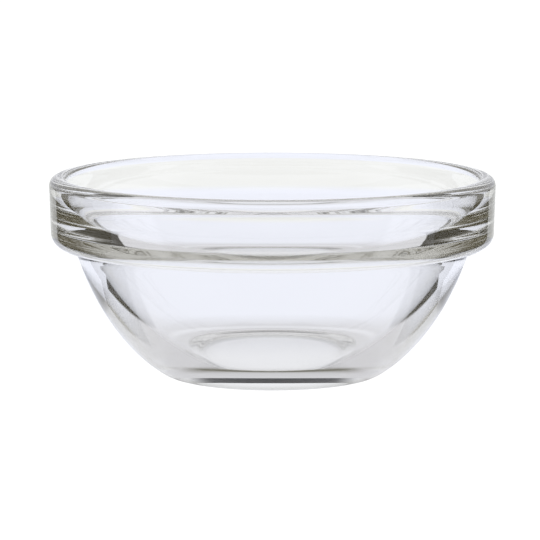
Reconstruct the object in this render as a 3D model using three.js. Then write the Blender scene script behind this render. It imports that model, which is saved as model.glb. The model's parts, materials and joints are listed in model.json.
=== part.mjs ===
// Stackable glass bowl, pressed in one piece from clear glass.
// Millimetres, +Z up. The origin is the centre of the circle that the foot stands on.
// The whole bowl is one closed profile turned about the Z axis: the underside from the
// axis out to the foot, up the outside to the rim, and back down the inside to the axis.
import * as THREE from "three";

// Band: the upright collar at the top, which shows as a ring when bowls are stacked
const RIM_DIAMETER = 102; // across the band, just under the rim
const HEIGHT = 46.2; // foot to rim
const BAND_HEIGHT = 16.2; // rim to the stacking shoulder under the band
const BAND_DRAFT = 0.33; // radius that the outside of the band loses towards its lower edge
const RIM_WALL = 3.95; // glass thickness just under the rim
const RIM_CROWN = 2.05; // height of the fire-polished round on the rim
const RIM_LAND = 0.4; // flat left on top of the rim, where the next bowl sits
const LOWER_EDGE_ROUND = 3.5; // round between the band and the shoulder
const SHOULDER_FILLET = 0.8; // fillet between the shoulder and the body
const LIP_DRAFT = 3.85; // degrees from vertical, inside wall just under the rim

// Body: the bowl proper, which drops inside the band of the bowl below
const STACK_CLEARANCE = 1.85; // between the top of the body and the rim of the bowl below
const NECK_SLOPE = 72; // degrees from horizontal, outside wall under the shoulder
const NECK_WALL = 4.5; // level distance from the body's top edge to the inside's neck
const INNER_NECK_DROP = 1.35; // from the shoulder down to the inside's neck
const INNER_NECK_SLOPE = 70.5; // degrees from horizontal, inside wall at its neck

// Base: the foot ring, the shallow panel inside it, the thick heel and the floor of the bowl
const FOOT_RADIUS = 21.4; // outer edge of the flat that the bowl stands on
const FOOT_ROUND = 7.9; // round from the foot into the body
const FOOT_SLOPE = 32; // degrees from horizontal, outside wall where the foot's round ends
const FOOT_RING_WIDTH = 2.3; // flat ring that touches the table
const PANEL_DEPTH = 0.35; // how far the panel inside the ring is hollowed
const PANEL_BEVEL = 3; // width of the soft step between ring and panel
const HEEL_WALL = 5.15; // glass thickness where the foot's round ends
const HEEL_SLOPE = 34.5; // degrees from horizontal, inside wall at that place
const FLOOR_HEIGHT = 3.25; // table to the floor inside
const FLOOR_RADIUS = 15.3; // flat middle of the floor

// Facets
const SEGMENTS = 72; // around the axis
const TURN_PER_STEP = 18; // most degrees that the profile turns in a straight step
const STEP_LENGTH = 4; // longest straight step along a curve
const TURN_SAMPLES = 24; // tangents compared when a curve's turn is added up
const SAME_POINT = 1e-6; // points closer than this are one

// Even handles: a third of the straight distance gives a curve close to an arc.
// The inside keeps straight for longer under the rim, so that it turns in behind the shoulder.
const HANDLE_SHARE = 1 / 3;
const LIP_HANDLE_SHARE = 0.58;

const DOWN = -Math.PI / 2;
const QUARTER_TURN = Math.PI / 2;

const rimRadius = RIM_DIAMETER / 2;
const rimInnerRadius = rimRadius - RIM_WALL;
const crownBase = HEIGHT - RIM_CROWN;
const lowerBandRadius = rimRadius - BAND_DRAFT;
const shoulderHeight = HEIGHT - BAND_HEIGHT;
const neckRadius = rimInnerRadius - STACK_CLEARANCE;
const lipDraft = THREE.MathUtils.degToRad(LIP_DRAFT);
const neckAngle = THREE.MathUtils.degToRad(NECK_SLOPE);
const innerNeckAngle = THREE.MathUtils.degToRad(INNER_NECK_SLOPE);
const footAngle = THREE.MathUtils.degToRad(FOOT_SLOPE);
const heelAngle = THREE.MathUtils.degToRad(HEEL_SLOPE);

// Centres of the two rounds that the body's outside wall runs between, and its two ends
const filletCentre = new THREE.Vector2(neckRadius + SHOULDER_FILLET, shoulderHeight - SHOULDER_FILLET);
const footCentre = new THREE.Vector2(FOOT_RADIUS, FOOT_ROUND);
const neck = along(filletCentre, neckAngle + QUARTER_TURN, SHOULDER_FILLET);
const heel = along(footCentre, footAngle - QUARTER_TURN, FOOT_ROUND);

// A point at a distance from another, in the direction of an angle above horizontal
function along(point, angle, distance) {
  return new THREE.Vector2(
    point.x + distance * Math.cos(angle),
    point.y + distance * Math.sin(angle),
  );
}

// A curve to an end point that leaves and arrives along the given directions
function curveTo(path, end, leaveAngle, arriveAngle, leaveShare = HANDLE_SHARE) {
  const start = path.currentPoint.clone();
  const distance = start.distanceTo(end);
  const first = along(start, leaveAngle, leaveShare * distance);
  const second = along(end, arriveAngle + Math.PI, HANDLE_SHARE * distance);
  path.bezierCurveTo(first.x, first.y, second.x, second.y, end.x, end.y);
}

function drawUnderside(path) {
  const ringInnerEdge = new THREE.Vector2(FOOT_RADIUS - FOOT_RING_WIDTH, 0);
  path.moveTo(0, PANEL_DEPTH);
  path.lineTo(ringInnerEdge.x - PANEL_BEVEL, PANEL_DEPTH);
  curveTo(path, ringInnerEdge, 0, 0);
  path.lineTo(FOOT_RADIUS, 0);
}

function drawOutside(path) {
  path.absarc(footCentre.x, footCentre.y, FOOT_ROUND, DOWN, footAngle - QUARTER_TURN, false);
  curveTo(path, neck, footAngle, neckAngle);
  path.absarc(filletCentre.x, filletCentre.y, SHOULDER_FILLET, neckAngle + QUARTER_TURN, QUARTER_TURN, true);
  const edgeRadius = lowerBandRadius - LOWER_EDGE_ROUND;
  path.lineTo(edgeRadius, shoulderHeight);
  path.absarc(edgeRadius, shoulderHeight + LOWER_EDGE_ROUND, LOWER_EDGE_ROUND, DOWN, 0, false);
  path.lineTo(rimRadius, crownBase);
}

function drawRim(path) {
  const roundWidth = (RIM_WALL - RIM_LAND) / 2;
  const outerCentre = rimRadius - roundWidth;
  const innerCentre = rimInnerRadius + roundWidth;
  path.absellipse(outerCentre, crownBase, roundWidth, RIM_CROWN, 0, QUARTER_TURN, false);
  path.lineTo(innerCentre, HEIGHT);
  path.absellipse(innerCentre, crownBase, roundWidth, RIM_CROWN, QUARTER_TURN, Math.PI, false);
}

// The inside leaves the rim nearly upright, turns in behind the shoulder to its neck,
// runs down to the thick heel and levels out in the floor
function drawInside(path) {
  const innerNeck = new THREE.Vector2(neckRadius - NECK_WALL, shoulderHeight - INNER_NECK_DROP);
  const innerHeel = along(heel, footAngle + QUARTER_TURN, HEEL_WALL);
  const floorEdge = new THREE.Vector2(FLOOR_RADIUS, FLOOR_HEIGHT);
  curveTo(path, innerNeck, DOWN - lipDraft, innerNeckAngle + Math.PI, LIP_HANDLE_SHARE);
  curveTo(path, innerHeel, innerNeckAngle + Math.PI, heelAngle + Math.PI);
  curveTo(path, floorEdge, heelAngle + Math.PI, Math.PI);
  path.lineTo(0, FLOOR_HEIGHT);
}

// Total angle that a curve turns through
function turnOf(curve) {
  let turn = 0;
  let before = curve.getTangent(0);
  for (let sample = 1; sample <= TURN_SAMPLES; sample += 1) {
    const after = curve.getTangent(sample / TURN_SAMPLES);
    turn += before.angleTo(after);
    before = after;
  }
  return turn;
}

// The profile as points, with more of them where it turns more
function profilePoints(path) {
  const stepTurn = THREE.MathUtils.degToRad(TURN_PER_STEP);
  const points = [path.curves[0].getPoint(0)];
  const drawnCurves = path.curves.filter((curve) => curve.getLength() > SAME_POINT);
  for (const curve of drawnCurves) {
    const turn = turnOf(curve);
    const isStraight = turn < stepTurn / TURN_SAMPLES;
    const steps = isStraight ? 1 : Math.max(turn / stepTurn, curve.getLength() / STEP_LENGTH);
    points.push(...curve.getPoints(Math.ceil(steps)).slice(1));
  }
  return points;
}

function makeBowl() {
  const profile = new THREE.Path();
  drawUnderside(profile);
  drawOutside(profile);
  drawRim(profile);
  drawInside(profile);
  const geometry = new THREE.LatheGeometry(profilePoints(profile), SEGMENTS);
  geometry.rotateX(Math.PI / 2);
  const glass = new THREE.MeshStandardMaterial({
    color: 0xeef2f4,
    roughness: 0.03,
    metalness: 0,
    transparent: true,
    opacity: 0.35,
  });
  const bowl = new THREE.Mesh(geometry, glass);
  bowl.name = "glass_bowl";
  return bowl;
}

const stackableBowl = new THREE.Group();
stackableBowl.name = "stackable_glass_bowl";
stackableBowl.add(makeBowl());

export default stackableBowl;
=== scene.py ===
"""A stackable glass bowl of clear pressed glass, on a white studio table."""

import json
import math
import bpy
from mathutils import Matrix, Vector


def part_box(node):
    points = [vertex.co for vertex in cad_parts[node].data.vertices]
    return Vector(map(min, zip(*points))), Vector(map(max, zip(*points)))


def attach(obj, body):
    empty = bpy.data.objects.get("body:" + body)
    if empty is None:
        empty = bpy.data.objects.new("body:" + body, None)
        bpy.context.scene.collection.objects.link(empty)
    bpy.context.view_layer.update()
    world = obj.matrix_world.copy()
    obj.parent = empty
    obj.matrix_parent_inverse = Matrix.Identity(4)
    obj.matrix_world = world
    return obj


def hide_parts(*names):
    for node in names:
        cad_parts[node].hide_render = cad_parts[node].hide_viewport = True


bl_info = {
    "name": "Stackable Glass Bowl",
    "version": (1, 0, 0),
    "blender": (4, 5, 0),
    "location": "View3D > Sidebar > Glass Bowl",
    "description": "Models a pressed glass stacking bowl and lights it on a white table",
    "category": "Object",
}

import bpy
from bpy.props import FloatProperty, FloatVectorProperty, IntProperty, PointerProperty
from mathutils import Vector

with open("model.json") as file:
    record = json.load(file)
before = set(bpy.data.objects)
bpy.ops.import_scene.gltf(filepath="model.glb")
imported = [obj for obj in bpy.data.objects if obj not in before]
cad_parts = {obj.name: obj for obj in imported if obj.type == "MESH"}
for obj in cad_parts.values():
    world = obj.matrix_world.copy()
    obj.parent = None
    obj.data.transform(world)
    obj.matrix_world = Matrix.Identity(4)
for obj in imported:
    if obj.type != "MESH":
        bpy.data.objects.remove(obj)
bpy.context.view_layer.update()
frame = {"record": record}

BODY = "root"
NODE = "glass_bowl"

MILLIMETRE = 0.001
QUARTER_TURN = math.pi / 2
HALF_TURN = math.pi
FULL_TURN = 2 * math.pi
DOWN = -QUARTER_TURN

# What the frame says: the bowl's height and rim radius, and the height of its stacking shoulder
BOX_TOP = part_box(NODE)[1]
MOUNTS = {mount["name"]: mount["pos_m"] for mount in frame["record"]["mounts"]}
SHOULDER_HEIGHT = MOUNTS["stacking_shoulder"][2]

# A curve between two walls has even handles, a third of the straight distance long.
# Under the rim the inside keeps straight for longer, so that it turns in behind the shoulder.
HANDLE_SHARE = 1 / 3
LIP_HANDLE_SHARE = 0.58
MERGE_DISTANCE = 1e-6

# The photograph's frame and the camera's sensor
PHOTO_PIXELS = 540
SENSOR_WIDTH = 36.0

# Light is reflected many times inside the glass before it leaves
LIGHT_BOUNCES = 32
WHITE = (1, 1, 1)
# Black of the painted contact shadow under the foot ring, in front
CONTACT_SHADOW = (0, 0, 0)

# A Mix node's sockets for colours, by number because its other kinds share their names
MIX_SHARE = 0
MIX_FIRST = 6
MIX_SECOND = 7
MIX_RESULT = 2


def length(name, description, millimetres):
    """A size in metres, given in millimetres."""
    return FloatProperty(
        name=name, description=description, default=millimetres * MILLIMETRE, unit="LENGTH", precision=5,
    )


def angle(name, description, degrees):
    """An angle, given in degrees."""
    return FloatProperty(
        name=name, description=description, default=math.radians(degrees), unit="ROTATION",
    )


def colour(name, description, value):
    """A linear colour."""
    return FloatVectorProperty(
        name=name, description=description, default=value, subtype="COLOR", size=3, min=0,
    )


def amount(name, description, value):
    """A plain number."""
    return FloatProperty(name=name, description=description, default=value, precision=4)


def count(name, description, value):
    """A whole number of steps."""
    return IntProperty(name=name, description=description, default=value, min=1)


class BowlSizes(bpy.types.PropertyGroup):
    """The bowl's own sizes."""

    rim_radius: FloatProperty(
        name="Rim Radius", description="Outside of the band, just under the rim", default=BOX_TOP.x,
        unit="LENGTH",
    )
    height: FloatProperty(
        name="Height", description="Table to the top of the rim", default=BOX_TOP.z, unit="LENGTH",
    )
    shoulder_height: FloatProperty(
        name="Shoulder Height", description="Table to the underside of the band", default=SHOULDER_HEIGHT,
        unit="LENGTH",
    )
    band_draft: length("Band Draft", "Radius that the band loses towards its lower edge", 0.33)
    rim_wall: length("Rim Wall", "Glass thickness just under the rim", 3.95)
    rim_crown: length("Rim Crown", "Height of the fire-polished round on the rim", 2.05)
    rim_land: length("Rim Land", "Flat left on top of the rim", 0.4)
    rim_outer_round: length("Rim Outer Round", "Width of the round on the rim's outside", 2.3)
    lower_edge_round: length("Lower Edge Round", "Round between the band and the shoulder", 3.5)
    shoulder_fillet: length("Shoulder Fillet", "Fillet between the shoulder and the body", 0.4)
    lip_draft: angle("Lip Draft", "Inside wall just under the rim, from vertical", 0.8)
    stack_clearance: length("Stack Clearance", "From the body to the rim of the bowl below", 1.85)
    neck_slope: angle("Neck Slope", "Outside wall under the shoulder, from horizontal", 72)
    neck_wall: length("Neck Wall", "Level distance from the body's top edge to the inside's neck", 4.5)
    inner_neck_drop: length("Inner Neck Drop", "From the shoulder down to the inside's neck", 1.35)
    inner_neck_slope: angle("Inner Neck Slope", "Inside wall at its neck, from horizontal", 70.5)
    foot_radius: length("Foot Radius", "Outer edge of the flat that the bowl stands on", 21.4)
    foot_round: length("Foot Round", "Round from the foot into the body", 7.9)
    foot_slope: angle("Foot Slope", "Outside wall where the foot's round ends, from horizontal", 32)
    foot_ring_width: length("Foot Ring Width", "Flat ring that touches the table", 2.3)
    panel_depth: length("Panel Depth", "How far the panel inside the ring is hollowed", 0.35)
    panel_bevel: length("Panel Bevel", "Width of the soft step between ring and panel", 3)
    inner_heel_radius: length("Inner Heel Radius", "Radius of the bend between inside wall and floor", 25.1)
    inner_heel_height: length("Inner Heel Height", "Table to that bend", 7.2)
    heel_slope: angle("Heel Slope", "Inside wall just above the bend, from horizontal", 37)
    floor_slope: angle("Floor Slope", "Floor just inside the bend, from horizontal", 32)
    floor_height: length("Floor Height", "Table to the floor inside", 3.25)
    floor_radius: length("Floor Radius", "Flat middle of the floor", 15.3)
    segments: count("Segments", "Steps around the bowl's axis", 256)
    flat_steps: count("Flat Steps", "Steps along a straight stretch of the profile", 6)
    round_steps: count("Round Steps", "Steps round a small radius", 14)
    wall_steps: count("Wall Steps", "Steps along a curved wall", 36)


class GlassFinish(bpy.types.PropertyGroup):
    """The look of the glass."""

    refraction: amount("Refraction", "Index of refraction of soda-lime glass", 1.52)
    tint: colour("Tint", "Colour that light takes on in the depth of the glass", (0.787, 0.78, 0.742))
    density: amount("Density", "How fast the tint takes hold, per metre", 20.0)
    haze: amount("Haze", "Most roughness of the fire-polished surface", 0.004)
    haze_start: amount("Haze Start", "Share of the wave height where the haze starts", 0.4)
    haze_full: amount("Haze Full", "Share of the wave height where it is full", 0.8)
    wave_scale: amount("Wave Scale", "Waves per metre in the pressed surface", 60.0)
    wave_height: length("Wave Height", "Height of the waves in the pressed surface", 0.002)


class StudioSettings(bpy.types.PropertyGroup):
    """The white sheet, the light around it and the camera."""

    seen_light: amount("Seen Light", "Plain white that the camera sees around the bowl", 1.1)
    table_size: length("Table Size", "Width of the table", 40000)
    table_drop: length("Table Drop", "Gap that keeps the table and the foot apart", 0.01)
    sheet_light: colour("Sheet Light", "White sheet behind the bowl", (0.92, 0.945, 1.04))
    far_light: colour("Far Light", "White sheet farther behind", (0.955, 0.965, 0.955))
    far_start: length("Far Start", "Where the sheet farther behind takes over", 185)
    far_soft: length("Far Soft", "Half the depth in which it takes over", 25)
    shade_light: colour("Shade Light", "Sheet in the bowl's own shade, in front", (0.72, 0.72, 0.75))
    shade_depth: length("Shade Depth", "Half the depth in which that shade starts", 12)
    front_light: colour("Front Light", "White sheet in front of the shade", (1.0, 1.0, 1.05))
    front_start: length("Front Start", "Where the shade ends in front", -80)
    front_soft: length("Front Soft", "Half the depth of that end", 15)
    # Past this end the floor shows a painted dark reflection, in reflected light only
    front_end: length("Front End", "Where the sheet ends in front", -150)
    front_end_soft: length("Front End Soft", "Half the depth of that end", 8)
    # Painted shade on the floor under the base: darker behind than in front, darkest at the back edge
    under_shade_light: colour("Under Light", "Sheet under the base, behind", (0.72, 0.73, 0.78))
    under_front_light: colour("Under Front Light", "Sheet under the base, in front", (0.92, 0.93, 0.96))
    under_edge_shade_light: colour("Under Edge Light", "Sheet under the base at its back edge", (0.3, 0.3, 0.31))
    under_edge_start: length("Under Edge Start", "Radius where that edge starts", 13.5)
    # Painted shade on the floor round the foot, and a painted bright ring of light behind it
    foot_shade: colour("Foot Shade", "Sheet at the foot", (0.66, 0.66, 0.685))
    foot_shade_end: length("Foot Shade End", "Radius where the foot's shade is gone", 46)
    glow_light: colour("Glow Light", "Bright ring that the foot throws on the sheet", (0.86, 0.87, 0.92))
    glow_radius: length("Glow Radius", "Radius of that ring", 27.5)
    glow_soft: length("Glow Soft", "Half the width of that ring", 2.2)
    glow_fade: angle("Glow Fade", "Half the turn over which that ring fades at the sides", 25)
    # Painted shadow: a dark line on the floor just in front of the foot
    shadow_line_light: colour("Line Light", "Dark line on the sheet in front of the foot", (0.12, 0.11, 0.07))
    line_start: length("Line Start", "Radius where that line starts", 23.5)
    line_end: length("Line End", "Radius where that line ends", 25.3)
    line_soft: length("Line Soft", "Half the width of its soft edges", 0.7)
    # Where the painted contact shadow and the painted shadow line begin, towards the front
    ring_turn: angle("Ring Turn", "From straight behind to where the foot's contact line starts", 123)
    ring_soft: angle("Ring Soft", "Half the turn over which that line fades in", 16)
    # Painted dark reflections: the floor shows these dark colours, in a wedge on both sides of the sheet,
    # only in light that the glass reflects
    dark_reflection_light: colour("Dark Light", "Dark table beside the sheet", (0.03, 0.025, 0.01))
    far_dark_reflection_light: colour("Dark Far Light", "Dark table farther aside", (0.15, 0.14, 0.11))
    dark_far_start: length("Dark Far Start", "Where it takes over, from the axis", 130)
    dark_far_soft: length("Dark Far Soft", "Half the width in which it takes over", 35)
    dark_aside: length("Dark Aside", "From the axis to the point of the dark table's wedge", 35)
    dark_depth: length("Dark Depth", "How far behind the axis that point lies", -13)
    dark_back: angle("Dark Back", "Back edge of the wedge near the bowl, from straight behind", 35.2)
    dark_step: length("Dark Step", "How far behind the axis that near part ends", 23)
    dark_far_aside: length("Dark Far Aside", "Like the point, for the back edge farther out", 55.6)
    dark_far_back: angle("Dark Far Back", "Back edge of the wedge farther out, from straight behind", 30)
    dark_front: angle("Dark Front", "Front edge of the wedge, from straight behind", 95)
    dark_soft: length("Dark Soft", "Half the width of both edges", 1)
    white_light: colour("White Light", "White sweep, soft boxes and ceiling", (0.94, 0.95, 1.0))
    white_front: angle("White Front", "Where they end in front, from straight behind", 122)
    white_soft: angle("White Soft", "Half the width of that soft end", 14)
    fill_light: colour("Fill Light", "Light over the camera", (0.85, 0.85, 0.9))
    fill_low: angle("Fill Low", "Its lower edge", 28)
    fill_soft: angle("Fill Soft", "Half the width of its soft edge", 6)
    # This dark colour also serves as the floor's painted dark reflection past the sheet's front end
    camera_side_light: colour("Camera Side Light", "Dark room behind the camera", (0.14, 0.12, 0.06))
    gap_light: colour("Gap Light", "Dark room between the sweep and the ceiling", (0.3, 0.3, 0.31))
    gap_low: angle("Gap Low", "Top of the sweep", 35)
    gap_high: angle("Gap High", "Where the ceiling starts", 66)
    gap_half: angle("Gap Half", "Half the width of the dark room between them", 28)
    gap_soft: angle("Gap Soft", "Half the width of its soft edges", 3)
    camera_elevation: angle("Camera Elevation", "Above the horizon", 7.785)
    camera_distance: length("Camera Distance", "From the camera to the point it looks at", 897.6)
    camera_focus: amount("Camera Focus", "Focal length in pixels of the photograph", 3916.0)
    aim_height: length("Aim Height", "Height of the point that the camera looks at", 24.3)
    aim_side: length("Aim Side", "Sideways place of the point that the camera looks at", -0.55)


def along(point, direction, distance):
    """A point at a distance from another, in a direction given as an angle above horizontal."""
    return Vector((point.x + distance * math.cos(direction), 0, point.z + distance * math.sin(direction)))


def place(radius, height):
    """A point of the profile, which is drawn in the half plane of +X and Z."""
    return Vector((radius, 0, height))


class ProfilePen:
    """Draws the bowl's profile in edit mode by extruding its last vertex from place to place."""

    def __init__(self, name, start):
        bpy.ops.object.select_all(action="DESELECT")
        bpy.ops.mesh.primitive_plane_add(size=MILLIMETRE, location=start)
        bpy.ops.object.transform_apply(location=True)
        self.piece = bpy.context.object
        self.piece.name = name
        self.piece.data.name = name
        self.tip = start
        bpy.ops.object.mode_set(mode="EDIT")
        bpy.ops.mesh.select_mode(type="VERT")
        bpy.ops.mesh.select_all(action="SELECT")
        bpy.ops.mesh.merge(type="CENTER")

    def step_to(self, point):
        step = point - self.tip
        bpy.ops.mesh.extrude_region_move(TRANSFORM_OT_translate={"value": step})
        self.tip = point

    def line_to(self, end, steps):
        start = self.tip
        for number in range(1, steps + 1):
            self.step_to(start.lerp(end, number / steps))

    def arc(self, centre, width, height, start_angle, end_angle, steps):
        """A stretch of an ellipse, or of a circle where width and height are alike."""
        for number in range(1, steps + 1):
            turn = start_angle + (end_angle - start_angle) * number / steps
            self.step_to(centre + place(width * math.cos(turn), height * math.sin(turn)))

    def curve_to(self, end, leave_angle, arrive_angle, steps, leave_share=HANDLE_SHARE):
        """A smooth curve that leaves and arrives along the given directions."""
        start = self.tip
        distance = (end - start).length
        first = along(start, leave_angle, leave_share * distance)
        second = along(end, arrive_angle + HALF_TURN, HANDLE_SHARE * distance)
        for number in range(1, steps + 1):
            share = number / steps
            rest = 1 - share
            weighted = (
                rest**3 * start,
                3 * rest**2 * share * first,
                3 * rest * share**2 * second,
                share**3 * end,
            )
            self.step_to(sum(weighted, Vector()))


class BowlOutline:
    """Points and directions that the stretches of the profile share."""

    def __init__(self, sizes):
        self.rim_inner_radius = sizes.rim_radius - sizes.rim_wall
        self.crown_base = sizes.height - sizes.rim_crown
        neck_radius = self.rim_inner_radius - sizes.stack_clearance
        fillet = sizes.shoulder_fillet
        self.fillet_centre = place(neck_radius + fillet, sizes.shoulder_height - fillet)
        self.foot_centre = place(sizes.foot_radius, sizes.foot_round)
        self.neck = along(self.fillet_centre, sizes.neck_slope + QUARTER_TURN, fillet)
        inner_neck_height = sizes.shoulder_height - sizes.inner_neck_drop
        self.inner_neck = place(neck_radius - sizes.neck_wall, inner_neck_height)
        self.inner_heel = place(sizes.inner_heel_radius, sizes.inner_heel_height)


def draw_underside(pen, sizes):
    ring_inner_radius = sizes.foot_radius - sizes.foot_ring_width
    pen.line_to(place(ring_inner_radius - sizes.panel_bevel, sizes.panel_depth), sizes.flat_steps)
    pen.curve_to(place(ring_inner_radius, 0), 0, 0, sizes.round_steps)
    pen.line_to(place(sizes.foot_radius, 0), sizes.flat_steps)


def draw_outside(pen, sizes, outline):
    steps = sizes.round_steps
    foot = sizes.foot_round
    pen.arc(outline.foot_centre, foot, foot, DOWN, sizes.foot_slope - QUARTER_TURN, steps)
    pen.curve_to(outline.neck, sizes.foot_slope, sizes.neck_slope, sizes.wall_steps)
    fillet = sizes.shoulder_fillet
    pen.arc(outline.fillet_centre, fillet, fillet, sizes.neck_slope + QUARTER_TURN, QUARTER_TURN, steps)
    edge = sizes.lower_edge_round
    edge_centre = place(sizes.rim_radius - sizes.band_draft - edge, sizes.shoulder_height + edge)
    pen.line_to(place(edge_centre.x, sizes.shoulder_height), sizes.flat_steps)
    pen.arc(edge_centre, edge, edge, DOWN, 0, 2 * steps)
    pen.line_to(place(sizes.rim_radius, outline.crown_base), 2 * sizes.flat_steps)


def draw_rim(pen, sizes, outline):
    outer_round = sizes.rim_outer_round
    inner_round = sizes.rim_wall - sizes.rim_land - outer_round
    outer_centre = place(sizes.rim_radius - outer_round, outline.crown_base)
    inner_centre = place(outline.rim_inner_radius + inner_round, outline.crown_base)
    pen.arc(outer_centre, outer_round, sizes.rim_crown, 0, QUARTER_TURN, sizes.round_steps)
    pen.line_to(place(inner_centre.x, sizes.height), 1)
    pen.arc(inner_centre, inner_round, sizes.rim_crown, QUARTER_TURN, HALF_TURN, sizes.round_steps)


def draw_inside(pen, sizes, outline):
    neck_slope = sizes.inner_neck_slope + HALF_TURN
    heel_slope = sizes.heel_slope + HALF_TURN
    floor_slope = sizes.floor_slope + HALF_TURN
    pen.curve_to(outline.inner_neck, DOWN - sizes.lip_draft, neck_slope, sizes.wall_steps, LIP_HANDLE_SHARE)
    pen.curve_to(outline.inner_heel, neck_slope, heel_slope, sizes.wall_steps)
    pen.curve_to(place(sizes.floor_radius, sizes.floor_height), floor_slope, HALF_TURN, sizes.wall_steps)
    pen.line_to(place(0, sizes.floor_height), sizes.flat_steps)


def turn_profile(sizes):
    """Turns the drawn profile about the bowl's axis and closes the seam and both poles."""
    bpy.ops.mesh.select_all(action="SELECT")
    bpy.ops.mesh.spin(steps=sizes.segments, angle=FULL_TURN, center=(0, 0, 0), axis=(0, 0, 1))
    bpy.ops.mesh.select_all(action="SELECT")
    bpy.ops.mesh.remove_doubles(threshold=MERGE_DISTANCE)
    bpy.ops.mesh.normals_make_consistent(inside=False)
    bpy.ops.object.mode_set(mode="OBJECT")
    bpy.ops.object.shade_smooth()


def new_material(name):
    """A material with an empty node tree and its output node."""
    material = bpy.data.materials.new(name)
    material.use_nodes = True
    nodes = material.node_tree.nodes
    nodes.clear()
    output = nodes.new("ShaderNodeOutputMaterial")
    return material, nodes, material.node_tree.links, output


def make_glass(finish):
    """Clear pressed glass: a faint tint in depth, slow waves and a trace of haze on the surface."""
    material, nodes, links, output = new_material("clear_pressed_glass")
    shader = nodes.new("ShaderNodeBsdfPrincipled")
    shader.inputs["Metallic"].default_value = 0
    shader.inputs["Transmission Weight"].default_value = 1
    shader.inputs["IOR"].default_value = finish.refraction
    shader.inputs["Base Color"].default_value = (*WHITE, 1)
    place_on = nodes.new("ShaderNodeTexCoord")
    waves = nodes.new("ShaderNodeTexNoise")
    waves.inputs["Scale"].default_value = finish.wave_scale
    waves.inputs["Detail"].default_value = 1
    links.new(place_on.outputs["Object"], waves.inputs["Vector"])
    bump = nodes.new("ShaderNodeBump")
    bump.inputs["Strength"].default_value = 1
    bump.inputs["Distance"].default_value = finish.wave_height
    links.new(waves.outputs["Fac"], bump.inputs["Height"])
    links.new(bump.outputs["Normal"], shader.inputs["Normal"])
    haze = nodes.new("ShaderNodeMapRange")
    haze.inputs["From Min"].default_value = finish.haze_start
    haze.inputs["From Max"].default_value = finish.haze_full
    haze.inputs["To Min"].default_value = 0
    haze.inputs["To Max"].default_value = finish.haze
    links.new(waves.outputs["Fac"], haze.inputs["Value"])
    links.new(haze.outputs["Result"], shader.inputs["Roughness"])
    depth = nodes.new("ShaderNodeVolumeAbsorption")
    depth.inputs["Color"].default_value = (*finish.tint, 1)
    depth.inputs["Density"].default_value = finish.density
    links.new(shader.outputs["BSDF"], output.inputs["Surface"])
    links.new(depth.outputs["Volume"], output.inputs["Volume"])
    return material


class Wiring:
    """Adds nodes to a tree, taking numbers, colours or the outputs of other nodes as inputs."""

    def __init__(self, tree):
        self.nodes = tree.nodes
        self.links = tree.links

    def feed(self, socket, value):
        if isinstance(value, bpy.types.NodeSocket):
            self.links.new(value, socket)
        elif hasattr(value, "__len__"):
            socket.default_value = (*value, 1)
        else:
            socket.default_value = value

    def math(self, operation, *values):
        node = self.nodes.new("ShaderNodeMath")
        node.operation = operation
        for socket, value in zip(node.inputs, values):
            self.feed(socket, value)
        return node.outputs["Value"]

    def rise(self, value, start, end):
        """Goes smoothly from 0 at the start to 1 at the end."""
        node = self.nodes.new("ShaderNodeMapRange")
        node.interpolation_type = "SMOOTHSTEP"
        self.feed(node.inputs["Value"], value)
        self.feed(node.inputs["From Min"], start)
        self.feed(node.inputs["From Max"], end)
        return node.outputs["Result"]

    def soft_step(self, value, edge, softness):
        """Goes from 0 to 1 over a soft edge."""
        return self.rise(value, edge - softness, edge + softness)

    def within(self, value, low, high, softness):
        """Is 1 between two soft edges."""
        above_low = self.soft_step(value, low, softness)
        below_high = self.soft_step(value, high, -softness)
        return self.math("MULTIPLY", above_low, below_high)

    def mix(self, share, first, second):
        node = self.nodes.new("ShaderNodeMix")
        node.data_type = "RGBA"
        self.feed(node.inputs[MIX_SHARE], share)
        self.feed(node.inputs[MIX_FIRST], first)
        self.feed(node.inputs[MIX_SECOND], second)
        return node.outputs[MIX_RESULT]

    def parts_of(self, vector):
        node = self.nodes.new("ShaderNodeSeparateXYZ")
        self.feed(node.inputs["Vector"], vector)
        return node.outputs["X"], node.outputs["Y"], node.outputs["Z"]

    def coordinates(self, kind):
        return self.nodes.new("ShaderNodeTexCoord").outputs[kind]

    def reflected(self):
        """Is 1 for light with an odd number of bounces: it has been reflected, not only let through."""
        path = self.nodes.new("ShaderNodeLightPath")
        return self.math("MODULO", path.outputs["Ray Depth"], 2)

    def white_to_camera(self, light, white):
        """The light itself for the glass, and plain white where the camera looks past the glass."""
        path = self.nodes.new("ShaderNodeLightPath")
        return self.mix(path.outputs["Is Camera Ray"], light, (white, white, white))


def past_edge(wiring, aside, depth, edge):
    """How far a place lies past an edge through the origin, at an angle from straight behind."""
    along_depth = wiring.math("MULTIPLY", depth, -math.sin(edge))
    return wiring.math("MULTIPLY_ADD", aside, math.cos(edge), along_depth)


class TablePlaces:
    """Where a point of the table lies: beside and behind the bowl's axis, and round it."""

    def __init__(self, wiring, studio):
        across, self.back, _ = wiring.parts_of(wiring.coordinates("Object"))
        self.aside = wiring.math("ABSOLUTE", across)
        across_square = wiring.math("MULTIPLY", across, across)
        self.radius = wiring.math("SQRT", wiring.math("MULTIPLY_ADD", self.back, self.back, across_square))
        self.turn = wiring.math("ARCTAN2", self.aside, self.back)
        self.in_front = wiring.soft_step(self.back, 0, -studio.shade_depth)
        self.front_shadow_sector = wiring.soft_step(self.turn, studio.ring_turn, studio.ring_soft)


def light_sheet(wiring, places, studio):
    """The white sheet: behind the bowl, farther behind, and in front with the bowl's shade on it."""
    far = wiring.soft_step(places.back, studio.far_start, studio.far_soft)
    light = wiring.mix(far, studio.sheet_light, studio.far_light)
    light = wiring.mix(places.in_front, light, studio.shade_light)
    past_shade = wiring.soft_step(places.back, studio.front_start, -studio.front_soft)
    return wiring.mix(past_shade, light, studio.front_light)


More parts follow.
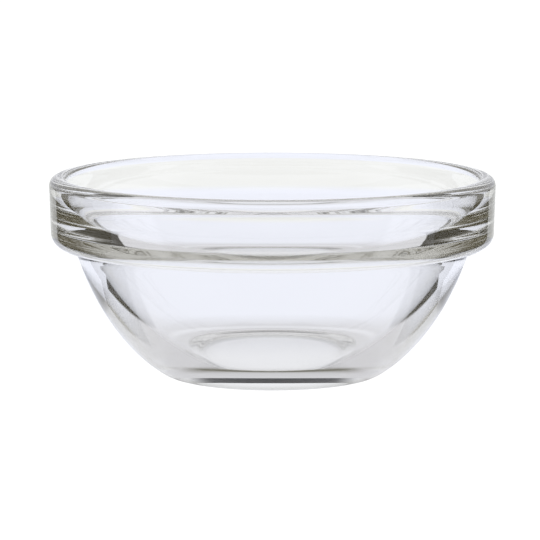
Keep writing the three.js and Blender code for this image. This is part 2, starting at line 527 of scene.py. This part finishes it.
def paint_dark_reflections(wiring, places, studio, light):
    """Painted dark reflections on the floor, past the sheet's front end and in a wedge on both sides, shown
    only in reflected light.
    """
    reflected = wiring.reflected()
    beyond = wiring.soft_step(places.back, studio.front_end, -studio.front_end_soft)
    light = wiring.mix(wiring.math("MULTIPLY", beyond, reflected), light, studio.camera_side_light)

    depth = wiring.math("SUBTRACT", places.back, studio.dark_depth)
    near_aside = wiring.math("SUBTRACT", places.aside, studio.dark_aside)
    far_aside = wiring.math("SUBTRACT", places.aside, studio.dark_far_aside)
    before_step = wiring.math("SUBTRACT", studio.dark_step, places.back)
    near_edge = past_edge(wiring, near_aside, depth, studio.dark_back)
    near_back = wiring.math("MINIMUM", near_edge, before_step)
    far_back = past_edge(wiring, far_aside, depth, studio.dark_far_back)
    front_edge = past_edge(wiring, near_aside, depth, studio.dark_front)
    past_back = wiring.soft_step(wiring.math("MAXIMUM", near_back, far_back), 0, studio.dark_soft)
    past_front = wiring.soft_step(front_edge, 0, -studio.dark_soft)
    wedge = wiring.math("MULTIPLY", past_back, past_front)
    far_dark = wiring.soft_step(places.aside, studio.dark_far_start, studio.dark_far_soft)
    dark = wiring.mix(far_dark, studio.dark_reflection_light, studio.far_dark_reflection_light)
    return wiring.mix(wiring.math("MULTIPLY", wedge, reflected), light, dark)


def shade_foot(wiring, places, studio, sizes, light):
    """Painted shade round the foot, a painted bright ring of light behind it and a painted shadow line in
    front of it.
    """
    near = wiring.rise(places.radius, studio.foot_shade_end, sizes.foot_radius)
    light = wiring.mix(near, light, studio.foot_shade)
    glow_inside = wiring.rise(places.radius, studio.glow_radius - studio.glow_soft, studio.glow_radius)
    glow_outside = wiring.rise(places.radius, studio.glow_radius + studio.glow_soft, studio.glow_radius)
    glow = wiring.math("MULTIPLY", glow_inside, glow_outside)
    behind = wiring.soft_step(places.turn, QUARTER_TURN, -studio.glow_fade)
    light = wiring.mix(wiring.math("MULTIPLY", glow, behind), light, studio.glow_light)
    # Painted shadow line on the floor in front of the foot
    line = wiring.within(places.radius, studio.line_start, studio.line_end, studio.line_soft)
    return wiring.mix(wiring.math("MULTIPLY", line, places.front_shadow_sector), light, studio.shadow_line_light)


def light_base(wiring, places, studio, sizes, light):
    """The sheet under the base with painted shade, darker behind and darkest at its back edge, and a
    painted contact shadow where the foot ring touches it in front.
    """
    ring_inner_radius = sizes.foot_radius - sizes.foot_ring_width
    # Painted shade under the base, darkest towards its back edge
    edge = wiring.rise(places.radius, studio.under_edge_start, ring_inner_radius)
    base = wiring.mix(edge, studio.under_shade_light, studio.under_edge_shade_light)
    base = wiring.mix(places.in_front, base, studio.under_front_light)
    # Painted contact shadow: black under the foot ring, in front
    ring = wiring.math("GREATER_THAN", places.radius, ring_inner_radius)
    base = wiring.mix(wiring.math("MULTIPLY", ring, places.front_shadow_sector), base, CONTACT_SHADOW)
    under_base = wiring.math("LESS_THAN", places.radius, sizes.foot_radius)
    return wiring.mix(under_base, light, base)


def make_table(studio, sizes):
    """White sheet that glows, with painted shade and light round the bowl's foot and painted dark
    reflections on both sides.
    """
    material, nodes, links, output = new_material("white_table")
    wiring = Wiring(material.node_tree)
    places = TablePlaces(wiring, studio)
    light = light_sheet(wiring, places, studio)
    light = paint_dark_reflections(wiring, places, studio, light)
    light = shade_foot(wiring, places, studio, sizes, light)
    light = light_base(wiring, places, studio, sizes, light)
    # The floor glows: its emission carries the painted shade, light and dark reflections, and plain white
    # to the camera
    emission = nodes.new("ShaderNodeEmission")
    wiring.feed(emission.inputs["Color"], wiring.white_to_camera(light, studio.seen_light))
    links.new(emission.outputs["Emission"], output.inputs["Surface"])
    return material


class BOWL_OT_press_bowl(bpy.types.Operator):
    """Draw the bowl's profile, turn it about the axis and give it its glass"""

    bl_idname = "glass_bowl.press_bowl"
    bl_label = "Press Bowl"

    def execute(self, context):
        sizes = context.scene.bowl_sizes
        outline = BowlOutline(sizes)
        pen = ProfilePen("pressed_bowl", place(0, sizes.panel_depth))
        draw_underside(pen, sizes)
        draw_outside(pen, sizes, outline)
        draw_rim(pen, sizes, outline)
        draw_inside(pen, sizes, outline)
        turn_profile(sizes)
        pen.piece.data.materials.append(make_glass(context.scene.glass_finish))
        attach(pen.piece, BODY)
        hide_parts(NODE)
        return {"FINISHED"}


class BOWL_OT_light_studio(bpy.types.Operator):
    """Set the table, the soft light of the room and the camera around the bowl"""

    bl_idname = "glass_bowl.light_studio"
    bl_label = "Light Studio"

    def execute(self, context):
        studio = context.scene.studio_settings
        self.lay_table(context, studio)
        self.set_room(context, studio)
        self.set_camera(context, studio)
        self.set_light_paths(context.scene)
        return {"FINISHED"}

    def lay_table(self, context, studio):
        bpy.ops.object.select_all(action="DESELECT")
        bpy.ops.mesh.primitive_plane_add(size=studio.table_size, location=(0, 0, -studio.table_drop))
        bpy.ops.object.transform_apply(location=True)
        table = context.object
        table.name = "white_table"
        table.data.materials.append(make_table(studio, context.scene.bowl_sizes))

    def set_room(self, context, studio):
        """The white sweep and ceiling, the dark room between them and the light over the camera."""
        world = bpy.data.worlds.new("white_room")
        world.use_nodes = True
        nodes = world.node_tree.nodes
        nodes.clear()
        wiring = Wiring(world.node_tree)
        across, back, up = wiring.parts_of(wiring.coordinates("Generated"))
        turn = wiring.math("ARCTAN2", wiring.math("ABSOLUTE", across), back)
        height = wiring.math("ARCSINE", up)

        fill = wiring.soft_step(height, studio.fill_low, studio.fill_soft)
        front = wiring.mix(fill, studio.camera_side_light, studio.fill_light)
        in_front = wiring.soft_step(turn, studio.white_front, studio.white_soft)
        light = wiring.mix(in_front, studio.white_light, front)
        gap_height = wiring.within(height, studio.gap_low, studio.gap_high, studio.gap_soft)
        gap_width = wiring.soft_step(turn, studio.gap_half, -studio.gap_soft)
        light = wiring.mix(wiring.math("MULTIPLY", gap_height, gap_width), light, studio.gap_light)

        background = nodes.new("ShaderNodeBackground")
        wiring.feed(background.inputs["Color"], wiring.white_to_camera(light, studio.seen_light))
        output = nodes.new("ShaderNodeOutputWorld")
        world.node_tree.links.new(background.outputs["Background"], output.inputs["Surface"])
        context.scene.world = world

    def set_camera(self, context, studio):
        aim = Vector((studio.aim_side, 0, studio.aim_height))
        back = Vector((0, -math.cos(studio.camera_elevation), math.sin(studio.camera_elevation)))
        bpy.ops.object.camera_add(location=aim + back * studio.camera_distance)
        camera = context.object
        camera.name = "photo_camera"
        camera.rotation_euler = (-back).to_track_quat("-Z", "Y").to_euler()
        camera.data.sensor_width = SENSOR_WIDTH
        camera.data.lens = studio.camera_focus * SENSOR_WIDTH / PHOTO_PIXELS
        context.scene.camera = camera

    def set_light_paths(self, scene):
        """Plain colours, and enough bounces for thick clear glass."""
        scene.view_settings.view_transform = "Standard"
        scene.cycles.max_bounces = LIGHT_BOUNCES
        scene.cycles.transmission_bounces = LIGHT_BOUNCES
        scene.cycles.glossy_bounces = LIGHT_BOUNCES
        scene.cycles.use_denoising = True


class BOWL_PT_panel(bpy.types.Panel):
    """Lists the bowl's sizes, its finish, the studio and their operators"""

    bl_idname = "BOWL_PT_panel"
    bl_label = "Glass Bowl"
    bl_space_type = "VIEW_3D"
    bl_region_type = "UI"
    bl_category = "Glass Bowl"

    def draw(self, context):
        scene = context.scene
        layout = self.layout
        layout.operator(BOWL_OT_press_bowl.bl_idname)
        layout.operator(BOWL_OT_light_studio.bl_idname)
        for group in (scene.bowl_sizes, scene.glass_finish, scene.studio_settings):
            box = layout.box()
            for name in group.__annotations__:
                box.prop(group, name)


CLASSES = (
    BowlSizes,
    GlassFinish,
    StudioSettings,
    BOWL_OT_press_bowl,
    BOWL_OT_light_studio,
    BOWL_PT_panel,
)


def register():
    for item in CLASSES:
        bpy.utils.register_class(item)
    bpy.types.Scene.bowl_sizes = PointerProperty(type=BowlSizes)
    bpy.types.Scene.glass_finish = PointerProperty(type=GlassFinish)
    bpy.types.Scene.studio_settings = PointerProperty(type=StudioSettings)


def unregister():
    del bpy.types.Scene.studio_settings
    del bpy.types.Scene.glass_finish
    del bpy.types.Scene.bowl_sizes
    for item in reversed(CLASSES):
        bpy.utils.unregister_class(item)


def main():
    register()
    bpy.ops.glass_bowl.press_bowl()
    bpy.ops.glass_bowl.light_studio()


if __name__ == "__main__":
    main()
